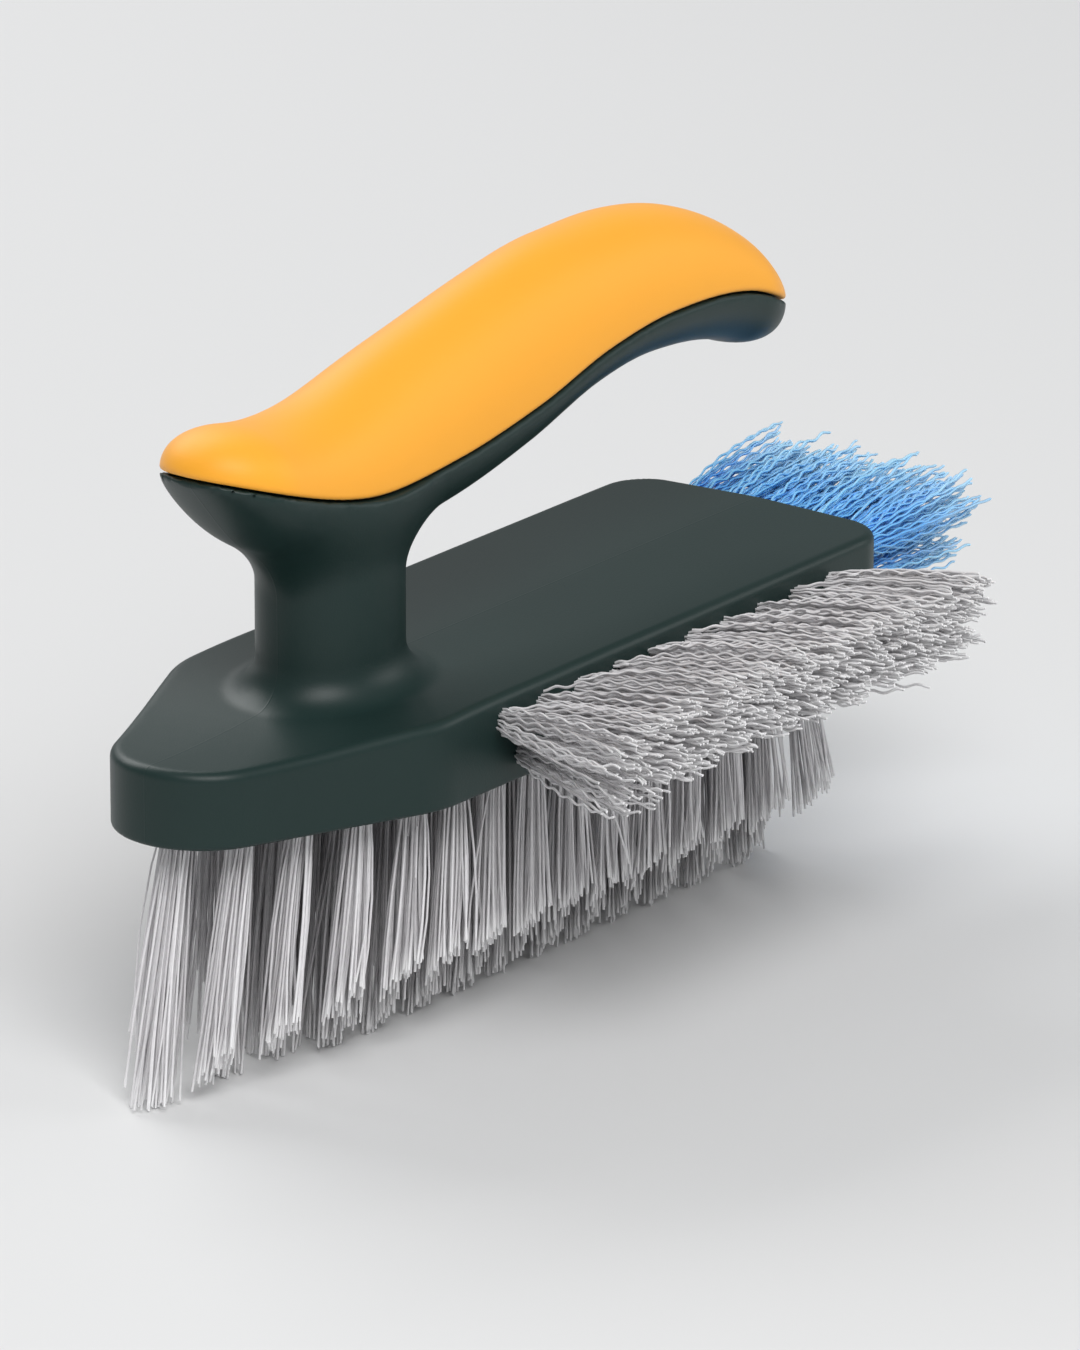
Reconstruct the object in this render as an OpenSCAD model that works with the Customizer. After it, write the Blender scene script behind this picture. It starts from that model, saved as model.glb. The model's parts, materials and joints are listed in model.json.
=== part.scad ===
// Grout brush: an iron-shaped block with a cantilever hand grip, straight tufts
// underneath, and crimped tufts along one side and across the rear end.
// +X runs to the rear end, the nose points to -X, and the side tufts grow to -Y.
// The origin is under the middle of the whole brush, on the plane of the bottom tips.

/* [Block] */
// Length of the block from the nose to the rear end
block_l = 204; // [190:1:240]
// Width of the block
block_w = 66.5; // [62:0.5:80]
// Thickness of the block's edge at the nose
nose_t = 15; // [14:0.2:18]
// Thickness of the block's edge at the shoulders
shoulder_t = 18.4; // [18:0.2:24]
// Thickness of the block's edge at the rear end
rear_t = 20.2; // [18:0.2:24]
// Rise of the top from the edges to the middle line
crown_h = 0.9; // [0.4:0.1:2]
// Radius of the nose, seen from above
nose_r = 18; // [14:0.5:22]
// Radius of the shoulders, seen from above
shoulder_r = 24; // [8:1:27]
// Radius of the rear corners, seen from above
corner_r = 10; // [6:0.5:14]
// Angle by which each side draws in towards the nose
nose_angle = 23; // [20:0.5:26]
// Rounding of the block's upper edge
edge_r = 2.2; // [1:0.1:3]
// Rounding of the block's lower edge
lower_edge_r = 0.7; // [0.3:0.1:1.5]

/* [Column] */
// Distance from the nose to the middle of the column
column_x = 58; // [54:0.5:66]
// Length of the column's oval section
column_l = 33.4; // [28:0.2:38]
// Width of the column's oval section
column_w = 27; // [22:1:28]
// Fillet between the column and the block
column_fillet = 7; // [4:0.5:9]
// Fillet between the column and the handle, behind the column
rear_fillet = 14; // [10:0.5:17]
// Fillet between the column and the handle, in front of the column
front_fillet = 16; // [10:0.5:17]

/* [Handle] */
// Distance from the nose back to the handle's front tip
handle_x = 13.8; // [9:0.2:17]
// Length of the handle from its front tip to its rear tip
handle_l = 187.7; // [175:0.1:200]
// Width of the handle
handle_w = 30; // [26:0.5:34]
// Length over which the handle's tips round off
tip_r = 16.5; // [13:0.5:19]
// Height of the grip's edge line above the block's underside, at the front tip
line_front = 70.2; // [67:0.2:73]
// Height of the edge line where it dips, over the column
line_dip = 59.7; // [58:0.1:63]
// Height of the edge line where it starts to climb behind the column
line_foot = 60.6; // [59:0.1:64]
// Height of the edge line halfway along the handle
line_mid = 65.5; // [63:0.1:69]
// Height of the edge line at the upper end of the climb
line_climb = 71.6; // [68:0.1:75]
// Height of the edge line where it is highest
line_crest = 74.6; // [72:0.1:79]
// Height of the edge line where it turns down to the rear tip
line_fall = 73; // [69:0.1:77]
// Height of the edge line at the rear tip
line_tail = 64.5; // [60:0.5:71]
// Depth of the hard plastic under the edge line, at the front tip
keel_front = 4.5; // [4:0.5:8]
// Depth of the hard plastic under the edge line, between the front tip and the column
keel_bow = 13.4; // [11:0.2:15]
// Depth of the hard plastic under the edge line, over the column
keel_column = 13; // [11:0.5:16]
// Depth of the hard plastic under the edge line, behind the column
keel_foot = 12.4; // [10:0.2:15]
// Depth of the hard plastic under the edge line, along the handle
keel_mid = 10.4; // [8:0.2:13]
// Depth of the hard plastic under the edge line, near the rear tip
keel_tail = 12.2; // [9:0.2:15]

/* [Soft grip] */
// Height of the grip over the edge line at the front tip
grip_front = 10; // [7:0.5:12]
// Height of the grip over the edge line, ahead of the column
grip_bow = 13; // [10:0.2:16]
// Height of the grip over the edge line, behind the column
grip_foot = 22.2; // [18:0.2:26]
// Height of the grip over the edge line halfway along the handle
grip_mid = 25; // [20:0.5:28]
// Height of the grip over the edge line at the upper end of the climb
grip_climb = 21; // [17:0.5:24]
// Height of the grip over the edge line at its crest
grip_crest = 17.6; // [14:0.2:21]
// Height of the grip over the edge line where it turns down
grip_fall = 12; // [9:0.2:15]
// Height of the grip over the edge line at the rear tip
grip_tail = 6; // [4:0.5:9]
// Wall of the soft grip over its hard core
grip_wall = 2.6; // [2:0.1:4]
// Width of the shadow groove between the grip and the hard plastic
groove = 0.7; // [0.3:0.1:1.2]

/* [Tufts] */
// Diameter of the tuft holes
hole_d = 5; // [4:0.1:5.6]
// Depth of the tuft holes
hole_depth = 8; // [6:0.5:8.4]
// Spacing of the bottom tufts along each row
pitch = 12.9; // [11.5:0.1:14]
// Distance from the block's edge to the outer row of holes
rim_inset = 11.3; // [11:0.1:13]
// Distance between neighbouring rows of bottom tufts
row_gap = 11; // [10:0.2:12]
// Bare end of the block behind the last bottom tufts
rear_inset = 18; // [12:0.5:24]
// Spacing of the side tufts along each row
side_pitch = 12.3; // [11.5:0.1:14]
// Distance from the nose to the first side tuft
side_start = 70.6; // [60:0.2:90]
// Least distance from the last side tuft to the rear end
side_end = 22; // [14:0.5:26]
// Height of the anchor that wedges each folded tuft in its hole
anchor_h = 3; // [2:0.2:4]
// Thickness of an anchor
anchor_t = 0.5; // [0.3:0.1:1]

/* [Bottom bristles] */
// Length of the bottom bristles under the block
bristle_l = 53.5; // [40:0.5:70]
// Thickness of a bottom strand
strand_d = 1.5; // [0.8:0.1:1.6]
// Half width of the strip that the tips are cut flat on, behind the shoulders
flat_half = 9; // [8.6:0.2:14]
// Half width of that strip at the front tuft
nose_flat = 3.5; // [3:0.1:6]
// Slope of the trimmed tips outside that strip
trim_angle = 50; // [20:1:55]
// Forward lean of a tuft's tips at the very front
nose_lean = 13; // [0:0.5:15]
// Backward lean of a tuft's tips at the very rear
rear_lean = 20; // [0:0.5:22]
// Spread of a bottom tuft at its tips
tip_spread = 7.4; // [5:0.2:8.4]

/* [Side and rear bristles] */
// Reach of the side bristles from the block
side_l = 40; // [30:1:50]
// Reach of the rear bristles from the block
rear_l = 40; // [30:1:50]
// Height of the lower row of side and rear tufts above the block's underside
low_row_z = 5.4; // [4.4:0.2:6]
// Height of the upper row above the lower row
row_rise = 7.8; // [7.2:0.2:8.4]
// Upward tilt of the side tufts
side_tilt = 7; // [0:1:10]
// Upward tilt of the rear tufts
rear_tilt = 5; // [0:1:8]
// Thickness of a crimped strand
crimp_d = 1.1; // [0.6:0.1:1.2]
// Sideways throw of the crimp
crimp_throw = 0.7; // [0.2:0.1:0.9]
// Spread of a crimped tuft at its tips
crimp_spread = 8; // [5:0.5:9]
// Spacing of the rear tufts across the block
rear_pitch = 10.6; // [10:0.2:11.4]

/* [Hidden] */
rear_n = 5;
bottom_strands = 4;
side_strands = 3;
rear_strands = 4;
crimp_steps = 4;
root_sink = 1;
overlap = 2;
section_power = 2.2;
green = [0.13, 0.2, 0.19];
orange = [0.99, 0.68, 0.2];
grey = [0.72, 0.71, 0.73];
blue = [0.25, 0.6, 0.95];
steel = [0.7, 0.7, 0.72];

half_l = block_l / 2;
half_w = block_w / 2;
nose_x = nose_r - half_l;
taper_tan = tan(nose_angle);
// Where the drawn-in side would meet the straight one without the shoulder's rounding
shoulder_x = nose_x - nose_r * sin(nose_angle) + (half_w - nose_r * cos(nose_angle)) / taper_tan;
shoulder_centre_x = shoulder_x + shoulder_r * tan(nose_angle / 2);
rear_centre_x = half_l - corner_r;
strand_root_r = 0.32 * hole_d;
crimp_root_r = 0.25 * hole_d;
plug_l = hole_depth - anchor_h;

// Outer row of bottom holes: it follows the block's outline at rim_inset, from the nose back
rim_r = nose_r - rim_inset;
rim_arc = rim_r * (90 - nose_angle) * PI / 180;
rim_y = half_w - rim_inset;
rim_corner_x = nose_x - rim_r * sin(nose_angle) + (rim_y - rim_r * cos(nose_angle)) / taper_tan;
rim_taper = (rim_y - rim_r * cos(nose_angle)) / sin(nose_angle);
rim_l = rim_arc + rim_taper + half_l - rear_inset - rim_corner_x;
bottom_n = floor(rim_l / pitch) + 1;
side_n = floor((block_l - side_start - side_end) / side_pitch) + 1;

// Smooth curve through points [position, value], read at position u
function slope_at(p, i) =
    let (a = max(i - 1, 0), b = min(i + 1, len(p) - 1))
    (p[b][1] - p[a][1]) / (p[b][0] - p[a][0]);
function span_of(p, u, i = 0) = (i >= len(p) - 2 || u <= p[i + 1][0]) ? i : span_of(p, u, i + 1);
function curve(p, u) =
    let (
        i = span_of(p, u),
        h = p[i + 1][0] - p[i][0],
        t = (u - p[i][0]) / h,
        bend_in = slope_at(p, i) * h,
        bend_out = slope_at(p, i + 1) * h
    )
    p[i][1] * (2 * pow(t, 3) - 3 * t * t + 1) + bend_in * (pow(t, 3) - 2 * t * t + t)
    + p[i + 1][1] * (3 * t * t - 2 * pow(t, 3)) + bend_out * (pow(t, 3) - t * t);

// Height of the block's top above its underside
function edge_top(x) =
    x < shoulder_centre_x
    ? nose_t + (shoulder_t - nose_t) * (x - nose_x) / (shoulder_centre_x - nose_x)
    : shoulder_t + (rear_t - shoulder_t) * (x - shoulder_centre_x) / (rear_centre_x - shoulder_centre_x);
function block_top(x, y) = edge_top(x) + crown_h * (1 - abs(y) / half_w);

// Points of closed rings as one list, and the faces of the skin over them
function flat_list(rings) = [for (r = rings) each r];
function side_faces(m, n) = [
    for (i = [0:m - 2], k = [0:n - 1])
        each [
            [i * n + k, (i + 1) * n + k, (i + 1) * n + (k + 1) % n],
            [i * n + k, (i + 1) * n + (k + 1) % n, i * n + (k + 1) % n]
        ]
];
module skin(rings) {
    m = len(rings);
    n = len(rings[0]);
    first_cap = [for (k = [1:n - 2]) [0, k, k + 1]];
    last_cap = [for (k = [1:n - 2]) [(m - 1) * n, (m - 1) * n + k + 1, (m - 1) * n + k]];
    polyhedron(flat_list(rings), concat(side_faces(m, n), first_cap, last_cap));
}

// Handle: curves along its length, from 0 at the front tip to 1 at the rear tip
handle_start = handle_x - half_l;
edge_line = [
    [0, line_front], [0.2, line_dip], [0.35, line_foot], [0.5, line_mid],
    [0.62, line_climb], [0.74, line_crest], [0.88, line_fall], [1, line_tail]
];
grip_rise = [
    [0, grip_front], [0.12, grip_bow], [0.3, grip_foot], [0.5, grip_mid],
    [0.66, grip_climb], [0.8, grip_crest], [0.92, grip_fall], [1, grip_tail]
];
keel_depth = [
    [0, keel_front], [0.1, keel_bow], [0.2, keel_column], [0.4, keel_foot], [0.65, keel_mid], [0.88, keel_tail],
    [1, keel_tail]
];
function tip_round(u) =
    let (d = min(u, 1 - u) * handle_l, q = max(0, 1 - d / tip_r))
    sqrt(max(0, 1 - q * q));
function line_z(u) = curve(edge_line, u);
function handle_u(x) = (x - handle_start) / handle_l;
// Height of the handle's underside above the block's underside
function belly_z(x, y) =
    let (
        u = handle_u(x),
        c = tip_round(u),
        q = min(1, abs(y) / (handle_w / 2 * c))
    )
    line_z(u) - curve(keel_depth, u) * c * pow(1 - pow(q, section_power), 1 / section_power);

function power(v, e) = sign(v) * pow(abs(v), e);
// Half section of the handle: over the edge line when up is 1, under it when up is -1
function arc_point(a, h, t) = [a * power(cos(t), 2 / section_power), h * power(sin(t), 2 / section_power)];
// Steps round half a section and stations along the handle: the hidden core has fewer
function steps_of(inset) = inset > 0 ? 8 : 14;
function stations_of(inset) = inset > 0 ? 22 : 36;
function station_u(i, inset) =
    let (e = inset / handle_l + 0.004, s = (1 - cos(180 * i / stations_of(inset))) / 2)
    e + (1 - 2 * e) * s;
// The core keeps one wall clear of the outside, at the tips too
function inner_round(u, inset) =
    let (d = min(u, 1 - u) * handle_l - inset, q = max(0, 1 - d / (tip_r - inset)))
    sqrt(max(0, 1 - q * q));
function section(u, inset, part) =
    let (
        c = inner_round(u, inset),
        a = (handle_w / 2 - inset) * c,
        rise = (curve(grip_rise, u) - inset) * c,
        drop = (curve(keel_depth, u) - inset) * c,
        x = handle_start + u * handle_l,
        z = bristle_l + line_z(u),
        g = min(groove, a / 3, drop / 3),
        steps = steps_of(inset),
        upper = [for (k = [1:steps - 1]) arc_point(a, rise, 180 * k / steps)],
        lower = [for (k = [1:steps - 1]) arc_point(a, -drop, 180 * (steps - k) / steps)],
        outline =
            part == "upper" ? concat([[a - g, -g], [a, 0]], upper, [[-a, 0], [g - a, -g]])
            : part == "lower" ? concat([[a, -g], [-a, -g]], lower)
            : concat([[a, 0]], upper, [[-a, 0]], lower)
    )
    [for (p = outline) [x, p[0], z + p[1]]];
module handle_form(inset, part) {
    skin([for (i = [0:stations_of(inset)]) section(station_u(i, inset), inset, part)]);
}

// Column: oval rings from inside the block up into the handle
ring_n = 32;
column_centre = column_x - half_l;
// Ring that flares out to the block's top, at height h over it
function foot_ring(h) = [
    for (k = [0:ring_n - 1])
        let (
            t = 360 * k / ring_n,
            rest = column_fillet - max(0, h),
            out = column_fillet - sqrt(max(0, column_fillet * column_fillet - rest * rest)),
            x = column_centre + (column_l / 2 + out) * cos(t),
            y = (column_w / 2 + out) * sin(t)
        )
        [x, y, bristle_l + h + block_top(x, y)]
];
// How far the column's sides flare out towards the sides of the handle
side_flare = 0.7 * (handle_w - column_w) / 2;
// Ring that flares out to the handle's underside: s is 0 where the flare starts and 1 where it ends
function head_ring(s, lift) = [
    for (k = [0:ring_n - 1])
        let (
            t = 360 * k / ring_n,
            way = cos(t) > 0 ? 1 : -1,
            r = (way > 0 ? rear_fillet : front_fillet) * pow(abs(cos(t)), 0.3),
            wall = column_centre + column_l / 2 * cos(t),
            y = column_w / 2 * sin(t),
            far = wall + way * r,
            sweep = 90 - way * atan((belly_z(far + 1, y) - belly_z(far - 1, y)) / 2),
            y_end = y + side_flare * sin(t) * (1 - cos(sweep)),
            top = belly_z(wall + way * r * (1 - cos(sweep)), y_end)
        )
        [
            wall + way * (r * (1 - cos(s * sweep)) - lift),
            (y + side_flare * sin(t) * (1 - cos(s * sweep))) * (1 - lift / column_w),
            bristle_l + top - r * (sin(sweep) - sin(s * sweep)) + lift
        ]
];
module column() {
    steps = 6;
    skin(concat(
        [foot_ring(-overlap)],
        [for (i = [0:steps]) foot_ring(column_fillet * (1 - cos(90 * i / steps)))],
        [for (i = [0:steps]) head_ring(i / steps, 0.1 * i / steps)],
        [head_ring(1, overlap)]
    ));
}

// Rounded disc that stands at a corner of the block
module corner_disc(r, t) {
    steps = 4;
    upper = [for (i = [0:steps]) [r - edge_r * (1 - cos(90 * i / steps)), t - edge_r * (1 - sin(90 * i / steps))]];
    rotate_extrude($fn = 40)
        polygon(concat([[0, 0], [r - lower_edge_r, 0], [r, lower_edge_r]], upper, [[0, t]]));
}
module block() {
    hull() {
        translate([nose_x, 0, 0]) corner_disc(nose_r, nose_t);
        for (side = [-1, 1]) {
            translate([shoulder_centre_x, side * (half_w - shoulder_r), 0]) corner_disc(shoulder_r, shoulder_t);
            translate([rear_centre_x, side * (half_w - corner_r), 0]) corner_disc(corner_r, rear_t);
        }
        translate([shoulder_centre_x, 0, 0]) corner_disc(corner_r, shoulder_t + crown_h);
        translate([rear_centre_x, 0, 0]) corner_disc(corner_r, rear_t + crown_h);
    }
}

// Bottom tufts
function rim_point(s) =
    s < rim_arc
    ? let (t = s / rim_r * 180 / PI) [nose_x - rim_r * cos(t), rim_r * sin(t)]
    : s < rim_arc + rim_taper
    ? let (d = s - rim_arc)
        [nose_x - rim_r * sin(nose_angle) + d * cos(nose_angle), rim_r * cos(nose_angle) + d * sin(nose_angle)]
    : [rim_corner_x + s - rim_arc - rim_taper, rim_y];
function rim_x(i) = rim_point(i * pitch)[0];
inner_first = 3;
centre_first = 2;
straight_first = 4;
function centre_x(i) = rim_x(max(i, straight_first)) + min(0, i - straight_first) * pitch;
// Mouths of the holes in one cross row, nose first
function bottom_mouths(i) = concat(
    i == 0 ? [rim_point(0)] : [for (side = [-1, 1]) [rim_point(i * pitch)[0], side * rim_point(i * pitch)[1]]],
    i >= inner_first && i < bottom_n - 1 ? [for (side = [-1, 1]) [rim_x(i) + pitch / 2, side * row_gap]] : [],
    i >= centre_first ? [[centre_x(i), 0]] : []
);
// The flat strip narrows from the shoulders to the front tuft
function flat_at(x) =
    let (f = (x - nose_x + rim_r) / (rim_corner_x - nose_x + rim_r))
    nose_flat + (flat_half - nose_flat) * max(0, min(1, f));
function trim_z(x, y) = max(0, abs(y) - flat_at(x)) * tan(trim_angle);
function lean(x) =
    let (f = (x + half_l) / block_l)
    f < 0.5 ? -nose_lean * pow(1 - 2 * f, 1.6) : rear_lean * pow(max(0, 2 * f - 1), 4);

// Side and rear tufts
function side_x(i) = side_start + i * side_pitch - half_l;
function row_z(row) = bristle_l + low_row_z + row * row_rise;
function rear_y(i, row) = (i - (rear_n - 2 + row) / 2) * rear_pitch;

// Middle of the whole brush, seen from above: the origin of the model
bottom_tip_r = tip_spread / 2 - strand_d / 2;
function turned(i, n) = 360 * i / n + 45;
front_tuft_x = rim_point(0)[0] + lean(rim_point(0)[0]);
tip_corners = [
    for (j = [0:bottom_strands - 1], k = [0:2])
        let (t = turned(j, bottom_strands))
        bottom_tip_r * cos(t) + strand_d / 2 * cos(t + 120 * k)
];
x_low = min(-half_l, front_tuft_x + min(tip_corners));
x_high = half_l + rear_l;
y_low = -half_w - side_l;
y_high = half_w;
to_origin = [-(x_low + x_high) / 2, -(y_low + y_high) / 2, 0];

// One strand: triangular rings of radius r along a path, square to the plane of u and v
function strand_rings(path, r, u, v, turn) = [
    for (p = path) [for (k = [0:2]) p + r * (cos(turn + 120 * k) * u + sin(turn + 120 * k) * v)]
];
module out_of_side(x, z) {
    translate([x, -half_w, z]) rotate([90 - side_tilt, 0, 0]) children();
}
module out_of_rear(y, z) {
    translate([half_l, y, z]) rotate([0, 90 - rear_tilt, 0]) children();
}
module plug() {
    translate([0, 0, -plug_l]) rotate(45) cylinder(d = hole_d, h = plug_l, $fn = 4);
}
module bore() {
    translate([0, 0, -hole_depth]) cylinder(d = hole_d, h = hole_depth + overlap, $fn = 8);
}
module anchor() {
    translate([-hole_d * 0.45, -anchor_t / 2, -hole_depth]) cube([hole_d * 0.9, anchor_t, anchor_h]);
}
module out_of_bottom(p) {
    translate([p[0], p[1], bristle_l]) rotate([180, 0, 0]) children();
}

module block_and_handle() {
    color(green) translate(to_origin) difference() {
        union() {
            translate([0, 0, bristle_l]) block();
            column();
            handle_form(0, "lower");
            handle_form(grip_wall, "whole");
        }
        for (i = [0:bottom_n - 1], p = bottom_mouths(i)) out_of_bottom(p) bore();
        for (i = [0:side_n - 1]) out_of_side(side_x(i), row_z(1)) bore();
        for (i = [0:side_n - 2]) out_of_side(side_x(i) + side_pitch / 2, row_z(0)) bore();
        for (i = [0:rear_n - 1]) out_of_rear(rear_y(i, 1), row_z(1)) bore();
        for (i = [0:rear_n - 2]) out_of_rear(rear_y(i, 0), row_z(0)) bore();
    }
}

module soft_grip() {
    color(orange) translate(to_origin) difference() {
        handle_form(0, "upper");
        handle_form(grip_wall, "whole");
    }
}

module bottom_anchors() {
    color(steel) translate(to_origin)
        for (i = [0:bottom_n - 1], p = bottom_mouths(i)) out_of_bottom(p) anchor();
}
module side_anchors() {
    color(steel) translate(to_origin) {
        for (i = [0:side_n - 1]) out_of_side(side_x(i), row_z(1)) anchor();
        for (i = [0:side_n - 2]) out_of_side(side_x(i) + side_pitch / 2, row_z(0)) anchor();
    }
}
module rear_anchors() {
    color(steel) translate(to_origin) {
        for (i = [0:rear_n - 1]) out_of_rear(rear_y(i, 1), row_z(1)) anchor();
        for (i = [0:rear_n - 2]) out_of_rear(rear_y(i, 0), row_z(0)) anchor();
    }
}

// Straight strands, cut off level with the trim
module bottom_strand(p, j) {
    t = turned(j, bottom_strands);
    spoke = [cos(t), sin(t), 0];
    root = [p[0], p[1], bristle_l + root_sink] + strand_root_r * spoke;
    spread = [p[0] + lean(p[0]), p[1], 0] + bottom_tip_r * spoke;
    tip = [spread[0], spread[1], trim_z(spread[0], spread[1])];
    skin(strand_rings([root, tip], strand_d / 2, [1, 0, 0], [0, -1, 0], -t));
}
module bottom_tufts(i) {
    color(grey) translate(to_origin)
        for (p = bottom_mouths(i))
            union() {
                out_of_bottom(p) plug();
                for (j = [0:bottom_strands - 1]) bottom_strand(p, j);
            }
}

// Crimped strands: a zigzag whose throw is the same for all strands of a tuft
function crimp_path(root, tip, throw) = [
    for (i = [0:crimp_steps])
        root + (tip - root) * i / crimp_steps + (i == 0 || i == crimp_steps ? 0 : i % 2 == 0 ? -1 : 1) * throw
];
module side_tuft(x, row, first) {
    z = row_z(row);
    droop = first ? side_l * sin(side_tilt) : 0;
    color(grey) translate(to_origin) union() {
        out_of_side(x, z) plug();
        for (j = [0:side_strands - 1]) {
            t = turned(j, side_strands);
            spoke = [cos(t), 0, sin(t)];
            root = [x, -half_w + root_sink, z] + crimp_root_r * spoke;
            tip = [x, -half_w - side_l, z + side_l * tan(side_tilt) - droop] + (crimp_spread - crimp_d) / 2 * spoke;
            skin(strand_rings(crimp_path(root, tip, [0, 0, crimp_throw]), crimp_d / 2, [1, 0, 0], [0, 0, 1], t));
        }
    }
}
module rear_tuft(y, row) {
    z = row_z(row);
    color(blue) translate(to_origin) union() {
        out_of_rear(y, z) plug();
        for (j = [0:rear_strands - 1]) {
            t = turned(j, rear_strands);
            spoke = [0, cos(t), sin(t)];
            root = [half_l - root_sink, y, z] + crimp_root_r * spoke;
            tip = [half_l + rear_l, y, z + rear_l * tan(rear_tilt)] + (crimp_spread - crimp_d) / 2 * spoke;
            skin(strand_rings(crimp_path(root, tip, [0, 0, crimp_throw]), crimp_d / 2, [0, 1, 0], [0, 0, 1], t));
        }
    }
}

block_and_handle();
soft_grip();
bottom_anchors();
side_anchors();
rear_anchors();
for (i = [0:bottom_n - 1]) {
    bottom_tufts(i);
}
for (i = [0:side_n - 1]) {
    side_tuft(side_x(i), 1, i == 0);
}
for (i = [0:side_n - 2]) {
    side_tuft(side_x(i) + side_pitch / 2, 0, i == 0);
}
for (i = [0:rear_n - 1]) {
    rear_tuft(rear_y(i, 1), 1);
}
for (i = [0:rear_n - 2]) {
    rear_tuft(rear_y(i, 0), 0);
}
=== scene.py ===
import bpy
import json
import math
import numpy as np
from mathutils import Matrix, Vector

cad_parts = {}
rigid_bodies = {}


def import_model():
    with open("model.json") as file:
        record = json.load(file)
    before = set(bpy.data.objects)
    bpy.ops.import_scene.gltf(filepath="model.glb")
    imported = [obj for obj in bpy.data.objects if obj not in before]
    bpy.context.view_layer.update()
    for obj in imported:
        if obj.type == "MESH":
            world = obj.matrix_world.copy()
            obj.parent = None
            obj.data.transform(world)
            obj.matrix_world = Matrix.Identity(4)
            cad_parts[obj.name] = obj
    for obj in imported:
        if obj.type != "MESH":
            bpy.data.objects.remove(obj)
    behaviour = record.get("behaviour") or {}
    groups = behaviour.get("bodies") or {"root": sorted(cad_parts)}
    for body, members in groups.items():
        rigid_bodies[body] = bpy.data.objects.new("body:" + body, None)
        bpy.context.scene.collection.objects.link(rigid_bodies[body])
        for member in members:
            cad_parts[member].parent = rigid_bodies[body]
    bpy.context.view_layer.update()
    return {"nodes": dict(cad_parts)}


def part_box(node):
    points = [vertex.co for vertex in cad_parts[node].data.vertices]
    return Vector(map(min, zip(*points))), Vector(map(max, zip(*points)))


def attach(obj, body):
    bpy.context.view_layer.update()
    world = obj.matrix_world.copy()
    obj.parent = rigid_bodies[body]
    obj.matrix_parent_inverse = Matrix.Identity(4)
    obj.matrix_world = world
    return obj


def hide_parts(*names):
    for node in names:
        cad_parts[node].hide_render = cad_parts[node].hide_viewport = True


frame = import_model()
print("frame loaded:", len(frame["nodes"]), "nodes")

# Sizes are in millimetres from the middle of the block's underside, which is at place in the shared frame,
# with +X to the rear end
blockLow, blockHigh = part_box("block_and_handle")
bristleReach = 53.5
place = np.array([(blockLow.x + blockHigh.x) * 500, (blockLow.y + blockHigh.y) * 500, bristleReach])


def toFrame(points):
    return (np.asarray(points, float) + place) / 1000


# Helpers for nodes

class Link:
    # a socket in an expression, where each operator adds its Math node
    def __init__(self, tree, socket):
        self.tree, self.socket = tree, socket

    def __add__(self, other):
        return maths(self.tree, "ADD", self, other)

    def __radd__(self, other):
        return maths(self.tree, "ADD", other, self)

    def __sub__(self, other):
        return maths(self.tree, "SUBTRACT", self, other)

    def __rsub__(self, other):
        return maths(self.tree, "SUBTRACT", other, self)

    def __mul__(self, other):
        return maths(self.tree, "MULTIPLY", self, other)

    def __rmul__(self, other):
        return maths(self.tree, "MULTIPLY", other, self)

    def __truediv__(self, other):
        return maths(self.tree, "DIVIDE", self, other)

    def __pow__(self, other):
        return maths(self.tree, "POWER", self, other)

    def __abs__(self):
        return maths(self.tree, "ABSOLUTE", self)


def addNode(tree, kind, settings=None, values=None, output=0):
    node = tree.nodes.new(kind)
    for name, value in (settings or {}).items():
        setattr(node, name, value)
    for name, value in (values or {}).items():
        socket = node.inputs[name]
        if isinstance(value, Link):
            tree.links.new(value.socket, socket)
        else:
            socket.default_value = value
    return Link(tree, node.outputs[output])


def maths(tree, operation, *values):
    return addNode(tree, "ShaderNodeMath", {"operation": operation}, dict(enumerate(values)))


def newMaterial(name, constants):
    material = bpy.data.materials.new(name)
    material.use_nodes = True
    tree = material.node_tree
    surface = tree.nodes["Principled BSDF"]
    for socket, value in constants.items():
        surface.inputs[socket].default_value = value
    return material, tree, surface


def feed(surface, links):
    for name, link in links.items():
        link.tree.links.new(link.socket, surface.inputs[name])


def noise(tree, vector, scale, detail=2.0):
    return addNode(tree, "ShaderNodeTexNoise", {}, {"Vector": vector, "Scale": scale, "Detail": detail})


def smoothMask(tree, value, low, high):
    return addNode(tree, "ShaderNodeMapRange", {"interpolation_type": "SMOOTHSTEP"},
                   {"Value": value, "From Min": low, "From Max": high, "To Min": 0.0, "To Max": 1.0})


def mixColour(tree, factor, first, second):
    # by number, because a Mix node has sockets of the same name for each kind of value
    return addNode(tree, "ShaderNodeMix", {"data_type": "RGBA"}, {0: factor, 6: first, 7: second}, 2)


def bump(tree, height, distance):
    return addNode(tree, "ShaderNodeBump", {}, {"Height": height, "Distance": distance})


# Materials
greenLook = {"base": (0.0115, 0.030, 0.027, 1), "deep": (0.0085, 0.0235, 0.0215, 1), "cloud": 22.0,
             "rough": 0.36, "cloudRough": 0.08, "grainRough": 0.06, "grain": 2600.0, "grainDepth": 0.00002,
             "partingInner": 0.00005, "partingOuter": 0.00025, "partingRise": 1.2}


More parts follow.
